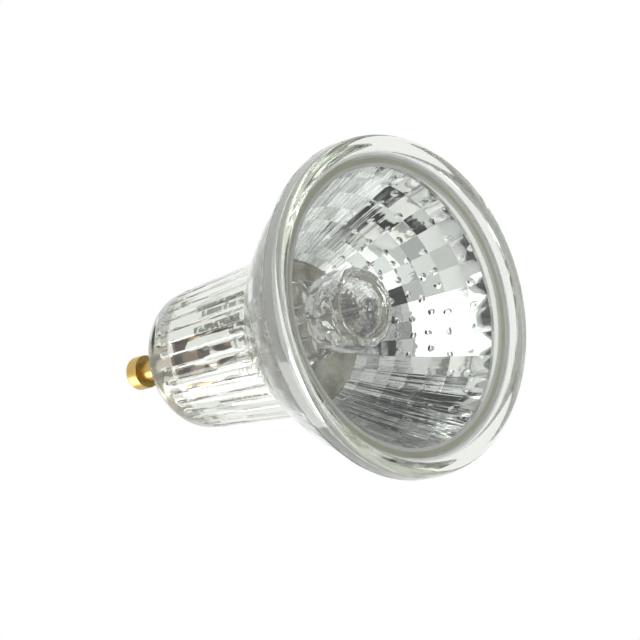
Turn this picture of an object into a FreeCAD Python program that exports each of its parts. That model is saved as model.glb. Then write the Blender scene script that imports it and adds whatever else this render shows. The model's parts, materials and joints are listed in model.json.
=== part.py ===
import FreeCAD, Part
import os
from math import cos, pi, radians, sin, sqrt, tan

# A GU10 halogen spotlight bulb, in millimetres.
# It stands on its front rim: the lamp axis is Z, the front plane is z = 0 and the
# contact pins point up. The two pins lie on the X axis.

# Overall sizes of the glass body: rim, throat of the bowl, and neck from throat to end
RIM_RADIUS = 25.0
THROAT_HEIGHT = 19.2
THROAT_RADIUS = 9.75
NECK_LENGTH = 26.8

# Front rim, from its outer wall round the crest to the inner lip
RIM_WALL_TOP = 2.9
RIM_OUTER_ROUND = 0.9
RIM_CREST_WIDTH = 0.5
RIM_WIDTH = 2.5
RIM_LIP_DEPTH = 1.25
RIM_STEP = 1.05
RIM_STEP_RISE = 0.6

# Cover glass in its pocket, on a flat ring of sealant that also fills the gap round it
COVER_DEPTH = 1.1
COVER_THICKNESS = 1.2
COVER_EDGE_ROUND = 0.3
SEAL_WIDTH = 0.4
SEAL_THICKNESS = 0.3
SEAL_LIP = 1.0
SEAT_WIDTH = 1.0
SEAT_WALL_HEIGHT = 2.1

# Mirror: a paraboloid cut into flat facets, in columns round the axis and in rows whose
# radii shrink by one ratio; its edge cuts the first row short and is scalloped
MIRROR_LAND = 0.6
FACET_COLUMNS = 36
FACET_ROWS = 8
EDGE_ROW_SHARE = 0.72
SCALLOP_DEPTH = 0.4

# Outside of the bowl, given by the thickness of the glass behind the mirror
BOWL_MID_WALL = 3.2
SHOULDER_SETBACK = 1.3
SHOULDER_WALL = 3.85
SHOULDER_PULL = 2.4

# Neck with its reeds, its bore and its base wall
NECK_RISE = 2.7
NECK_WALL = 2.5
LEDGE_WIDTH = 0.75
REED_COUNT = 36
REED_INSET = 0.1
REED_DEPTH = 0.3
REED_END_WALL = 2.3
BASE_END_LENGTH = 5.0
BASE_TAPER = 0.2
BASE_CORNER_RADIUS = 3.0
BASE_WALL = 5.0
BORE_CORNER_RADIUS = 0.6

# Contact pins
PIN_SPACING = 10.0
PIN_REACH = 7.0
PIN_HEAD_DIAMETER = 5.0
PIN_HEAD_LENGTH = 2.3
PIN_HEAD_ROUND = 0.45
PIN_NECK_ROUND = 0.15
PIN_STEM_DIAMETER = 3.05
PIN_FIT = 0.05
PIN_TAIL_LENGTH = 4.4
PIN_SOCKET_DEPTH = 3.2
WASHER_DIAMETER = 5.2
WASHER_THICKNESS = 0.6
WASHER_CLEARANCE = 0.1

# Throat shield; its slot fits the pinch closely on three sides and is open on the fourth
SHIELD_THICKNESS = 0.4
SHIELD_GAP = 0.15
SHIELD_SLOT_GAP = 0.3
SHIELD_OPEN_GAP = 2.4
SHIELD_WING_RISE = 0.3
SHIELD_WING_LINE = 1.0
SHIELD_WING_SPREAD = 0.85

# Quartz capsule; it stands off the lamp axis along Y
CAPSULE_OFFSET = 1.2
CAPSULE_RADIUS = 5.7
CAPSULE_WALL = 0.9
COVER_CLEARANCE = 5.0
TIP_RADIUS = 1.1
TIP_LENGTH = 0.3
DOME_DEPTH = 1.5
WAIST_RADIUS = 3.3
WAIST_LENGTH = 3.6
WAIST_SETBACK = 3.1
PINCH_NECK_WIDTH = 6.6
PINCH_WIDTH = 10.6
PINCH_THICKNESS = 3.0
PINCH_EDGE_ROUND = 0.8
GROOVE_DEPTH = 0.35
GROOVE_WIDTH = 2.8
GROOVE_START_SETBACK = 1.3
GROOVE_END_MARGIN = 2.5

# Conductors inside the capsule and down to the pins; the coil lies a share of the way
# from the capsule's front to its waist
FOIL_SPACING = 4.4
FOIL_WIDTH = 2.2
FOIL_THICKNESS = 0.1
FOIL_START_SETBACK = 0.3
FOIL_END_MARGIN = 4.0
FOIL_OVERLAP = 1.8
LEG_DIAMETER = 0.5
LEG_BEND_RADIUS = 0.6
LEG_RUN = 0.7
COIL_SHARE = 0.36
COIL_DIAMETER = 1.5
COIL_WALL = 0.4
COIL_GRIP = 0.5
SUPPORT_DIAMETER = 0.4
SUPPORT_DEPTH = 2.0
SUPPORT_GAP = 0.05
LEAD_DIAMETER = 0.8
LEAD_BEND_RADIUS = 0.9
LEAD_RUN = 3.0
LEAD_RISE = 1.2
LEAD_FIT = 0.05


def point(radius, height):
    """A point of a profile in the XZ plane."""
    return FreeCAD.Vector(radius, 0, height)


def line(start, end):
    return Part.LineSegment(start, end).toShape()


def arc(start, middle, end):
    return Part.Arc(start, middle, end).toShape()


def round_corner(centre, radius, start_angle, end_angle):
    """An arc of the XZ plane, given by its centre, its radius and two angles."""
    def at(angle):
        turn = radians(angle)
        return centre + FreeCAD.Vector(radius * cos(turn), 0, radius * sin(turn))
    return arc(at(start_angle), at((start_angle + end_angle) / 2), at(end_angle))


def bezier(*poles):
    curve = Part.BezierCurve()
    curve.setPoles(list(poles))
    return curve.toShape()


def chain(*corners):
    """Straight edges through the corners, one after the other."""
    return [line(a, b) for a, b in zip(corners, corners[1:])]


def turned(edges):
    """The solid that a closed profile makes when it turns round the lamp axis."""
    face = Part.Face(Part.Wire(Part.__sortEdges__(edges)))
    return face.revolve(FreeCAD.Vector(0, 0, 0), FreeCAD.Vector(0, 0, 1), 360)


def ring(inner, outer, bottom, top):
    """A plain ring, or a disc where the inner radius is nothing."""
    height = top - bottom
    base = FreeCAD.Vector(0, 0, bottom)
    disc = Part.makeCylinder(outer, height, base)
    return disc.cut(Part.makeCylinder(inner, height, base)) if inner else disc


def save(name, shape):
    """Write one piece as its own file, as a single clean solid."""
    solid = shape.Solids[0] if len(shape.Solids) == 1 else shape
    solid.exportStep(os.path.join("parts", name + ".step"))
    print(name, len(shape.Solids), "solid,", round(shape.Volume, 2), "mm3, valid", shape.isValid())


# Radii of the rim, the pocket and the mirror's edge
POCKET_RADIUS = RIM_RADIUS - RIM_WIDTH
POCKET_OPENING = POCKET_RADIUS - SEAT_WIDTH
COVER_RADIUS = POCKET_RADIUS - SEAL_WIDTH
RIM_CREST_RADIUS = RIM_RADIUS - RIM_OUTER_ROUND
MIRROR_EDGE_RADIUS = POCKET_OPENING - MIRROR_LAND

# Heights of the cover glass's seat, the mirror's edge and the ends of the neck
COVER_BACK_HEIGHT = COVER_DEPTH + COVER_THICKNESS
SEAT_HEIGHT = COVER_BACK_HEIGHT + SEAL_THICKNESS
MIRROR_EDGE_HEIGHT = SEAT_HEIGHT + SEAT_WALL_HEIGHT
BODY_LENGTH = THROAT_HEIGHT + NECK_LENGTH
BASE_INNER_HEIGHT = BODY_LENGTH - BASE_WALL
NECK_START_HEIGHT = THROAT_HEIGHT + NECK_RISE
REED_END_HEIGHT = BODY_LENGTH - BASE_END_LENGTH

# Radii of the neck and of its bore, which has to take the washers at its end
NECK_START_RADIUS = THROAT_RADIUS + NECK_WALL
BORE_MOUTH_RADIUS = THROAT_RADIUS - LEDGE_WIDTH
BORE_END_RADIUS = (PIN_SPACING + WASHER_DIAMETER) / 2 + WASHER_CLEARANCE + BORE_CORNER_RADIUS
REED_END_RADIUS = BORE_END_RADIUS + REED_END_WALL
BASE_RADIUS = REED_END_RADIUS - BASE_TAPER

# Paraboloid through the mirror's edge and the throat: four times its focal length
MIRROR_SPREAD = (MIRROR_EDGE_RADIUS ** 2 - THROAT_RADIUS ** 2) / (THROAT_HEIGHT - MIRROR_EDGE_HEIGHT)

# Heights of the capsule, from the cover glass, the throat and the tails of the pins
PIN_TAIL_HEIGHT = BASE_INNER_HEIGHT - WASHER_THICKNESS - PIN_TAIL_LENGTH
CAPSULE_FRONT_HEIGHT = COVER_BACK_HEIGHT + COVER_CLEARANCE + TIP_LENGTH
WAIST_HEIGHT = THROAT_HEIGHT - WAIST_SETBACK
PINCH_END_HEIGHT = PIN_TAIL_HEIGHT - LEAD_RUN
FOIL_START_HEIGHT = THROAT_HEIGHT - FOIL_START_SETBACK
FOIL_END_HEIGHT = PINCH_END_HEIGHT - FOIL_END_MARGIN
COIL_HEIGHT = CAPSULE_FRONT_HEIGHT + (WAIST_HEIGHT - CAPSULE_FRONT_HEIGHT) * COIL_SHARE
COIL_LENGTH = FOIL_SPACING - 2 * LEG_RUN


def mirror_radius(height):
    """Radius of the mirror's paraboloid at a height."""
    return sqrt(THROAT_RADIUS ** 2 + MIRROR_SPREAD * (THROAT_HEIGHT - height))


def mirror_height(radius):
    """Height of the mirror's paraboloid at a radius."""
    return THROAT_HEIGHT - (radius ** 2 - THROAT_RADIUS ** 2) / MIRROR_SPREAD


def glass_outside():
    """Bowl and rim, reeded neck and smooth base end, as one solid without its hollows."""
    crest_inner = RIM_CREST_RADIUS - RIM_CREST_WIDTH
    wall_top = point(RIM_RADIUS, RIM_WALL_TOP)
    step = point(RIM_RADIUS - RIM_STEP, RIM_WALL_TOP + RIM_STEP_RISE)
    shoulder_height = THROAT_HEIGHT - SHOULDER_SETBACK
    shoulder = point(mirror_radius(shoulder_height) + SHOULDER_WALL, shoulder_height)
    mid_height = (step.z + shoulder_height) / 2
    bowl_mid = point(mirror_radius(mid_height) + BOWL_MID_WALL, mid_height)
    neck_start = point(NECK_START_RADIUS, NECK_START_HEIGHT)
    bowl = turned([
        *chain(point(0, NECK_START_HEIGHT), point(0, 0), point(crest_inner, 0), point(RIM_CREST_RADIUS, 0)),
        round_corner(point(RIM_CREST_RADIUS, RIM_OUTER_ROUND), RIM_OUTER_ROUND, -90, 0),
        line(point(RIM_RADIUS, RIM_OUTER_ROUND), wall_top),
        bezier(wall_top, point(RIM_RADIUS, RIM_WALL_TOP + RIM_STEP_RISE), step),
        arc(step, bowl_mid, shoulder),
        bezier(shoulder, shoulder + point(-SHOULDER_PULL, SHOULDER_PULL),
               neck_start - point(0, SHOULDER_PULL), neck_start),
        line(neck_start, point(0, NECK_START_HEIGHT)),
    ])
    base_centre = point(BASE_RADIUS - BASE_CORNER_RADIUS, BODY_LENGTH - BASE_CORNER_RADIUS)
    base_end = turned([
        *chain(point(BASE_RADIUS - BASE_CORNER_RADIUS, BODY_LENGTH), point(0, BODY_LENGTH),
               point(0, REED_END_HEIGHT), point(REED_END_RADIUS, REED_END_HEIGHT),
               point(BASE_RADIUS, BODY_LENGTH - BASE_CORNER_RADIUS)),
        round_corner(base_centre, BASE_CORNER_RADIUS, 0, 90),
    ])
    reeds = Part.makeLoft([
        reed_section(NECK_START_RADIUS - REED_INSET, NECK_START_HEIGHT),
        reed_section(REED_END_RADIUS - REED_INSET, REED_END_HEIGHT),
    ], True, True)
    return bowl.fuse([reeds, base_end])


def reed_section(crest, height):
    """Closed outline of the reeds across the neck: one outward arc for each reed."""
    def at(step, radius):
        turn = 2 * pi * step / REED_COUNT
        return FreeCAD.Vector(radius * cos(turn), radius * sin(turn), height)
    valley = crest - REED_DEPTH
    half = 0.5
    return Part.Wire([arc(at(n - half, valley), at(n, crest), at(n + half, valley))
                      for n in range(REED_COUNT)])


def facet_rings():
    """Radius and height of each ring of facet corners, from the mirror's edge to the throat."""
    ratio = (THROAT_RADIUS / MIRROR_EDGE_RADIUS) ** (1 / (FACET_ROWS - 1 + EDGE_ROW_SHARE))
    inner = [THROAT_RADIUS / ratio ** step for step in range(FACET_ROWS - 1, -1, -1)]
    radii = [MIRROR_EDGE_RADIUS] + inner
    return [(radius, mirror_height(radius)) for radius in radii]


def facet_corner(ring_index, step, rings):
    """A corner of the facet grid; a column of facets is centred on each pin."""
    radius, height = rings[ring_index]
    turn = 2 * pi * (step + 0.5) / FACET_COLUMNS
    return FreeCAD.Vector(radius * cos(turn), radius * sin(turn), height)


def scallop(step, rings):
    """One arc of the mirror's edge; it bulges away from the lamp axis."""
    start = facet_corner(0, step, rings)
    end = facet_corner(0, step + 1, rings)
    middle = (start + end) * 0.5
    level = FreeCAD.Vector(middle.x, middle.y, 0).normalize()
    return arc(start, middle + level * SCALLOP_DEPTH, end)


def edge_facet(step, rings):
    """A facet of the first row: it goes from its scallop to the flat row below it."""
    lower_edge = line(facet_corner(1, step, rings), facet_corner(1, step + 1, rings))
    return Part.makeRuledSurface(scallop(step, rings), lower_edge)


def facet(ring_index, step, rings):
    """One flat facet; its four corners lie in one plane, because both long sides are level."""
    corners = [facet_corner(ring_index, step, rings), facet_corner(ring_index, step + 1, rings),
               facet_corner(ring_index + 1, step + 1, rings), facet_corner(ring_index + 1, step, rings)]
    return Part.Face(Part.makePolygon(corners + corners[:1]))


def mirror_hollow():
    """The space inside the mirror, bounded by its facets and by two flat lids."""
    rings = facet_rings()
    columns = range(FACET_COLUMNS)
    throat = [facet_corner(FACET_ROWS, step, rings) for step in columns]
    faces = [edge_facet(step, rings) for step in columns]
    faces += [facet(row, step, rings) for row in range(1, FACET_ROWS) for step in columns]
    faces += [Part.Face(Part.Wire([scallop(step, rings) for step in columns])),
              Part.Face(Part.makePolygon(throat + throat[:1]))]
    shell = Part.makeShell(faces)
    shell.sewShape()
    solid = Part.makeSolid(shell)
    if solid.Volume < 0:
        solid.reverse()
    return solid


def front_hollow():
    """Lip, pocket and seat of the cover glass, down to the mirror's edge."""
    lip_inner = RIM_CREST_RADIUS - RIM_CREST_WIDTH
    return turned([
        line(point(0, 0), point(lip_inner, 0)),
        bezier(point(lip_inner, 0), point(POCKET_RADIUS, 0), point(POCKET_RADIUS, RIM_LIP_DEPTH)),
        *chain(point(POCKET_RADIUS, RIM_LIP_DEPTH), point(POCKET_RADIUS, SEAT_HEIGHT),
               point(POCKET_OPENING, SEAT_HEIGHT), point(POCKET_OPENING, MIRROR_EDGE_HEIGHT),
               point(0, MIRROR_EDGE_HEIGHT), point(0, 0)),
    ])


def neck_bore():
    """The space inside the neck, from the throat to the base wall."""
    corner = point(BORE_END_RADIUS - BORE_CORNER_RADIUS, BASE_INNER_HEIGHT - BORE_CORNER_RADIUS)
    return turned([
        *chain(point(corner.x, BASE_INNER_HEIGHT), point(0, BASE_INNER_HEIGHT), point(0, THROAT_HEIGHT),
               point(BORE_MOUTH_RADIUS, THROAT_HEIGHT), point(BORE_END_RADIUS, corner.z)),
        round_corner(corner, BORE_CORNER_RADIUS, 0, 90),
    ])


def pin_places():
    """Where the two pins stand, on the X axis."""
    return {"a": FreeCAD.Vector(PIN_SPACING / 2, 0, 0), "b": FreeCAD.Vector(-PIN_SPACING / 2, 0, 0)}


def reflector_body():
    """The pressed-glass body: rim, faceted bowl, reeded neck and base wall in one piece."""
    body = glass_outside().cut([front_hollow(), mirror_hollow(), neck_bore()])
    holes = [Part.makeCylinder(PIN_STEM_DIAMETER / 2 + PIN_FIT, BASE_WALL,
                               place + FreeCAD.Vector(0, 0, BASE_INNER_HEIGHT))
             for place in pin_places().values()]
    return body.cut(holes)


def cover_glass():
    """The front disc, with a rounded edge on both faces."""
    flat = COVER_RADIUS - COVER_EDGE_ROUND
    front_turn = COVER_DEPTH + COVER_EDGE_ROUND
    back_turn = COVER_BACK_HEIGHT - COVER_EDGE_ROUND
    return turned([
        *chain(point(flat, COVER_DEPTH), point(0, COVER_DEPTH), point(0, COVER_BACK_HEIGHT),
               point(flat, COVER_BACK_HEIGHT)),
        round_corner(point(flat, back_turn), COVER_EDGE_ROUND, 90, 0),
        line(point(COVER_RADIUS, back_turn), point(COVER_RADIUS, front_turn)),
        round_corner(point(flat, front_turn), COVER_EDGE_ROUND, 0, -90),
    ])


def cover_seal():
    """Sealant under the cover glass, out to the pocket's wall and a little past its seat."""
    inner = POCKET_OPENING - SEAL_LIP
    bead = ring(inner, POCKET_RADIUS, COVER_DEPTH + COVER_EDGE_ROUND, SEAT_HEIGHT)
    return bead.cut(cover_glass())


def seated(shape):
    """Turn a piece of the capsule so that its pinch lies along Y, and move it off the axis."""
    placed = shape.copy()
    placed.rotate(FreeCAD.Vector(0, 0, 0), FreeCAD.Vector(0, 0, 1), 90)
    placed.translate(FreeCAD.Vector(0, CAPSULE_OFFSET, 0))
    return placed


def throat_shield():
    """Sheet disc on the throat ledge, with the pinch's slot and a raised wing beside it."""
    radius = THROAT_RADIUS - SHIELD_GAP
    bottom = THROAT_HEIGHT - SHIELD_THICKNESS
    half_slot = PINCH_WIDTH / 2 + SHIELD_SLOT_GAP
    low = CAPSULE_OFFSET - half_slot
    high = CAPSULE_OFFSET + half_slot
    spread = radius * SHIELD_WING_SPREAD
    corners = [FreeCAD.Vector(-SHIELD_WING_LINE, low, bottom),
               FreeCAD.Vector(-SHIELD_WING_LINE, high, bottom),
               FreeCAD.Vector(radius, high + spread, bottom),
               FreeCAD.Vector(radius, low - spread, bottom)]
    wing_plan = Part.Face(Part.makePolygon(corners + corners[:1]))
    wing = wing_plan.extrude(FreeCAD.Vector(0, 0, -SHIELD_WING_RISE))
    wing = wing.common(ring(0, radius, bottom - SHIELD_WING_RISE, bottom))
    underside = wing.translated(FreeCAD.Vector(0, 0, SHIELD_THICKNESS))
    slot_start = FreeCAD.Vector(-PINCH_THICKNESS / 2 - SHIELD_SLOT_GAP, low, bottom - SHIELD_WING_RISE)
    slot_width = PINCH_THICKNESS + SHIELD_SLOT_GAP + SHIELD_OPEN_GAP
    slot = Part.makeBox(slot_width, 2 * half_slot, SHIELD_THICKNESS + SHIELD_WING_RISE, slot_start)
    return ring(0, radius, bottom, THROAT_HEIGHT).fuse(wing).cut([underside, slot])


def routed_wire(corners, bend_radius, diameter):
    """A round wire along straight runs that are joined by tangent arcs."""
    edges = []
    start = corners[0]
    for before, corner, after in zip(corners, corners[1:], corners[2:]):
        inward = (before - corner).normalize()
        onward = (after - corner).normalize()
        half_turn = inward.getAngle(onward) / 2
        reach = bend_radius / tan(half_turn)
        centre = corner + (inward + onward).normalize() * (bend_radius / sin(half_turn))
        middle = centre + (corner - centre).normalize() * bend_radius
        edges.append(line(start, corner + inward * reach))
        edges.append(arc(corner + inward * reach, middle, corner + onward * reach))
        start = corner + onward * reach
    edges.append(line(start, corners[-1]))
    path = Part.Wire(edges)
    section = Part.Wire(Part.makeCircle(diameter / 2, corners[0], corners[1] - corners[0]))
    return path.makePipeShell([section], True, True)


def foil_places():
    """Side offset of each foil from the middle of the pinch."""
    return {"a": -FOIL_SPACING / 2, "b": FOIL_SPACING / 2}


def upright_foil(offset):
    """One foil in the upright pinch."""
    corner = FreeCAD.Vector(offset - FOIL_WIDTH / 2, -FOIL_THICKNESS / 2, FOIL_START_HEIGHT)
    return Part.makeBox(FOIL_WIDTH, FOIL_THICKNESS, FOIL_END_HEIGHT - FOIL_START_HEIGHT, corner)


def upright_leg(offset):
    """One filament leg: up from its foil, and in along the coil."""
    side = 1 if offset > 0 else -1
    depth = -(FOIL_THICKNESS + LEG_DIAMETER) / 2
    return routed_wire([
        FreeCAD.Vector(offset, depth, FOIL_START_HEIGHT + FOIL_OVERLAP),
        FreeCAD.Vector(offset, depth, COIL_HEIGHT),
        FreeCAD.Vector(side * (COIL_LENGTH / 2 - COIL_GRIP), depth, COIL_HEIGHT),
    ], LEG_BEND_RADIUS, LEG_DIAMETER)


def upright_coil():
    """The coil's outer form, a tube across the capsule between the legs."""
    start = FreeCAD.Vector(-COIL_LENGTH / 2, -(FOIL_THICKNESS + LEG_DIAMETER) / 2, COIL_HEIGHT)
    along = FreeCAD.Vector(1, 0, 0)
    outer = Part.makeCylinder(COIL_DIAMETER / 2, COIL_LENGTH, start, along)
    return outer.cut(Part.makeCylinder(COIL_DIAMETER / 2 - COIL_WALL, COIL_LENGTH, start, along))


def upright_support():
    """The middle support: a stem from the pinch with a loop round the coil."""
    radius = SUPPORT_DIAMETER / 2
    loop_radius = COIL_DIAMETER / 2 + SUPPORT_GAP + radius
    centre = FreeCAD.Vector(0, -(FOIL_THICKNESS + LEG_DIAMETER) / 2, COIL_HEIGHT)
    loop = Part.makeTorus(loop_radius, radius, centre, FreeCAD.Vector(1, 0, 0))
    stem_length = FOIL_START_HEIGHT + SUPPORT_DEPTH - COIL_HEIGHT - loop_radius
    stem = Part.makeCylinder(radius, stem_length, centre + FreeCAD.Vector(0, 0, loop_radius))
    return loop.fuse(stem)


def outer_lead(offset, place):
    """An outer lead: along its foil, out of the pinch and into the socket of its pin."""
    depth = (FOIL_THICKNESS + LEAD_DIAMETER) / 2 * (1 if place.x > 0 else -1)
    across = CAPSULE_OFFSET + offset
    return routed_wire([
        FreeCAD.Vector(depth, across, FOIL_END_HEIGHT - FOIL_OVERLAP),
        FreeCAD.Vector(depth, across, PINCH_END_HEIGHT + LEAD_RISE),
        FreeCAD.Vector(place.x, place.y, PIN_TAIL_HEIGHT - LEAD_BEND_RADIUS),
        FreeCAD.Vector(place.x, place.y, PIN_TAIL_HEIGHT + PIN_SOCKET_DEPTH),
    ], LEAD_BEND_RADIUS, LEAD_DIAMETER)


def bulb(inset):
    """The round bulb of the capsule, or the space inside it where the inset is the wall."""
    radius = CAPSULE_RADIUS - inset
    front = CAPSULE_FRONT_HEIGHT + inset
    dome_end = front + DOME_DEPTH
    body_end = WAIST_HEIGHT - WAIST_LENGTH
    waist = point(WAIST_RADIUS - inset, WAIST_HEIGHT - 2 * inset)
    return turned([
        bezier(point(0, front), point(radius, front), point(radius, dome_end)),
        line(point(radius, dome_end), point(radius, body_end)),
        bezier(point(radius, body_end), point(radius, (body_end + waist.z) / 2), waist),
        *chain(waist, point(0, waist.z), point(0, front)),
    ])


def pinch():
    """The flat pinch: it flares out from the bulb and has rounded long edges."""
    start = FreeCAD.Vector(0, -PINCH_THICKNESS / 2, 0)
    half_neck = PINCH_NECK_WIDTH / 2
    half = PINCH_WIDTH / 2
    neck_height = WAIST_HEIGHT - WAIST_LENGTH
    outline = [point(-half_neck, neck_height), point(half_neck, neck_height), point(half, WAIST_HEIGHT),
               point(half, PINCH_END_HEIGHT), point(-half, PINCH_END_HEIGHT), point(-half, WAIST_HEIGHT)]
    plan = Part.Face(Part.makePolygon([corner + start for corner in outline + outline[:1]]))
    slab = plan.extrude(FreeCAD.Vector(0, PINCH_THICKNESS, 0))
    long_edges = [edge for edge in slab.Edges
                  if edge.BoundBox.ZLength > PINCH_THICKNESS and edge.BoundBox.XLength < PINCH_EDGE_ROUND]
    return slab.makeFillet(PINCH_EDGE_ROUND, long_edges)


def pinch_grooves():
    """Round-ended grooves over the foils, on both broad faces of the pinch."""
    radius = GROOVE_WIDTH / 2
    start = THROAT_HEIGHT - GROOVE_START_SETBACK + radius
    length = PINCH_END_HEIGHT - GROOVE_END_MARGIN - radius - start
    across = FreeCAD.Vector(0, 1, 0)
    grooves = []
    for offset in foil_places().values():
        for depth in (-PINCH_THICKNESS / 2, PINCH_THICKNESS / 2 - GROOVE_DEPTH):
            low_end = FreeCAD.Vector(offset, depth, start)
            corner = low_end - FreeCAD.Vector(radius, 0, 0)
            ends = [Part.makeCylinder(radius, GROOVE_DEPTH, low_end + FreeCAD.Vector(0, 0, rise), across)
                    for rise in (0, length)]
            grooves.append(Part.makeBox(2 * radius, GROOVE_DEPTH, length, corner).fuse(ends))
    return grooves


def capsule_shell():
    """The upright quartz form: domed bulb with its tip, and the flat pinch with its grooves."""
    tip = Part.makeCone(TIP_RADIUS / 2, TIP_RADIUS, TIP_LENGTH + CAPSULE_WALL,
                        point(0, CAPSULE_FRONT_HEIGHT - TIP_LENGTH))
    return bulb(0).fuse([tip, pinch()]).cut([bulb(CAPSULE_WALL)] + pinch_grooves())


def contact_pin(place):
    """A turned brass pin: rounded head, stem through the base wall and a tail with a socket."""
    stem = PIN_STEM_DIAMETER / 2
    head = PIN_HEAD_DIAMETER / 2
    top = BODY_LENGTH + PIN_REACH
    underside = top - PIN_HEAD_LENGTH
    pin = turned([
        *chain(point(head - PIN_HEAD_ROUND, top), point(0, top), point(0, PIN_TAIL_HEIGHT),
               point(stem, PIN_TAIL_HEIGHT), point(stem, underside), point(head - PIN_NECK_ROUND, underside),
               point(head, underside + PIN_NECK_ROUND), point(head, top - PIN_HEAD_ROUND)),
        round_corner(point(head - PIN_HEAD_ROUND, top - PIN_HEAD_ROUND), PIN_HEAD_ROUND, 0, 90),
    ])
    socket = Part.makeCylinder(LEAD_DIAMETER / 2 + LEAD_FIT, PIN_SOCKET_DEPTH, point(0, PIN_TAIL_HEIGHT))
    return pin.cut(socket).translated(place)


def pin_washer(place):
    """The washer that locks a pin against the inner face of the base wall."""
    inner = PIN_STEM_DIAMETER / 2 + PIN_FIT
    bottom = BASE_INNER_HEIGHT - WASHER_THICKNESS
    return ring(inner, WASHER_DIAMETER / 2, bottom, BASE_INNER_HEIGHT).translated(place)


def build():
    os.makedirs("parts", exist_ok=True)
    save("reflector_body", reflector_body())
    save("cover_glass", cover_glass())
    save("cover_seal", cover_seal())
    save("throat_shield", throat_shield())
    support = seated(upright_support())
    buried = [support]
    for name, place in pin_places().items():
        offset = foil_places()[name]
        conductors = {"pinch_foil_": seated(upright_foil(offset)),
                      "filament_leg_": seated(upright_leg(offset)),
                      "outer_lead_": outer_lead(offset, place)}
        buried.extend(conductors.values())
        for piece, shape in conductors.items():
            save(piece + name, shape)
        save("contact_pin_" + name, contact_pin(place))
        save("pin_washer_" + name, pin_washer(place))
    save("capsule_envelope", seated(capsule_shell()).cut(buried))
    save("filament_coil", seated(upright_coil()))
    save("filament_support", support)


build()
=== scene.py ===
# %% [markdown]
# # A halogen spotlight bulb
# The bulb stands on its front rim, with its contact pins up. Its solid pieces come from
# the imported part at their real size, and this lesson dresses them: clear pressed glass, a
# bright faceted mirror, a quartz capsule and brass pins. Everything is in metres, in the
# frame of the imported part. Sizes that are written here in millimetres are turned by MM.

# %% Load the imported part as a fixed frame
import json
from math import atan2, cos, pi, radians, sin, sqrt, tan

import bmesh
import bpy
from mathutils import Matrix, Vector, noise

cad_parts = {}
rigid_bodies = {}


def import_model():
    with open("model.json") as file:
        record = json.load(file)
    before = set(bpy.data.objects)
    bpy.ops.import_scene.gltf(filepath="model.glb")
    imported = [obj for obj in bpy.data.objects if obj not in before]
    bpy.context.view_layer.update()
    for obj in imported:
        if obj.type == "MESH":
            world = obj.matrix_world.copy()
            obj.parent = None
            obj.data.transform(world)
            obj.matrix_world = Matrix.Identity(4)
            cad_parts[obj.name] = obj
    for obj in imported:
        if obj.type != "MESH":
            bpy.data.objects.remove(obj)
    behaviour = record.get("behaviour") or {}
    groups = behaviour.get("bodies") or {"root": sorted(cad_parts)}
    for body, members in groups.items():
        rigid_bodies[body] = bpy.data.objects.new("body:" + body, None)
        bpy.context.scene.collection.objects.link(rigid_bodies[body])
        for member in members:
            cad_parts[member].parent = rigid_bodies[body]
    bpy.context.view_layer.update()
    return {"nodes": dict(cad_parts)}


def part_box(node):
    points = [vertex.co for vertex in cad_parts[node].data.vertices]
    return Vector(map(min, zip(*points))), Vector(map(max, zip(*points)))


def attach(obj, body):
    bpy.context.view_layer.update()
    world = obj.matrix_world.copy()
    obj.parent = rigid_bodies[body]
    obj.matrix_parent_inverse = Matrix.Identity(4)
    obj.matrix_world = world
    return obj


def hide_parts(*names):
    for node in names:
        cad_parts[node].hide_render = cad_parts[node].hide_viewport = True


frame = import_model()
MM = 0.001
print("CAD nodes:", len(frame["nodes"]))

# %% [markdown]
# ## Small helpers
# A colour is written as the hex value that a screen shows, and Blender wants it linear.
# One function adds any node, sets it and links it. A second one adds a chain of them from
# a short table, one row for each sum, so that a long tree reads from top to bottom.

# %% Colour and node helpers
def srgb(code):
    """Turn a hex colour into linear RGBA."""
    values = [int(code[i:i + 2], 16) / 255 for i in (1, 3, 5)]
    linear = [v / 12.92 if v <= 0.04045 else ((v + 0.055) / 1.055) ** 2.4 for v in values]
    return (*linear, 1.0)


def add_node(tree, kind, inputs=None, **settings):
    """Add one node. An input is a value, a socket, or a node whose first output it takes."""
    node = tree.nodes.new(kind)
    for name, value in settings.items():
        setattr(node, name, value)
    for name, value in (inputs or {}).items():
        if isinstance(value, bpy.types.Node):
            value = value.outputs[0]
        if isinstance(value, bpy.types.NodeSocket):
            tree.links.new(value, node.inputs[name])
        else:
            node.inputs[name].default_value = value
    return node


def add_steps(tree, known, kind, steps):
    """Add nodes from rows of a name, an operation and the inputs, known names or values."""
    for name, operation, *values in steps:
        inputs = {i: known.get(value, value) for i, value in enumerate(values)}
        known[name] = add_node(tree, kind, inputs, operation=operation)


def material(name, shader, extra=None):
    """Start a material from the settings of its main shader; extra wires in its detail."""
    made = bpy.data.materials.new(name)
    made.use_nodes = True
    tree = made.node_tree
    tree.nodes.clear()
    main = add_node(tree, "ShaderNodeBsdfPrincipled", shader)
    out = add_node(tree, "ShaderNodeOutputMaterial", {"Surface": main})
    if extra:
        extra(tree, main, out)
    return made


def lamp_place(tree):
    """Where a point of a surface lies: its place, its turn round the lamp axis and its radius."""
    coord = add_node(tree, "ShaderNodeTexCoord").outputs["Object"]
    split = add_node(tree, "ShaderNodeSeparateXYZ", {0: coord})
    known = {"place": coord, "x": split.outputs[0], "y": split.outputs[1], "z": split.outputs[2]}
    add_steps(tree, known, "ShaderNodeMath", [("turn", "ARCTAN2", "y", "x")])
    add_steps(tree, known, "ShaderNodeVectorMath", [
        ("level", "MULTIPLY", "place", (1, 1, 0)), ("length", "LENGTH", "level")])
    known["radius"] = known["length"].outputs["Value"]
    return known


print("helpers ready")

# %% [markdown]
# ## The camera
# The photograph looks up at the bulb from below its front, 45 degrees off its axis, and
# the camera is rolled so that the axis lies across the picture. A long lens keeps the
# rim's ellipse as flat as it is there.

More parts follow.
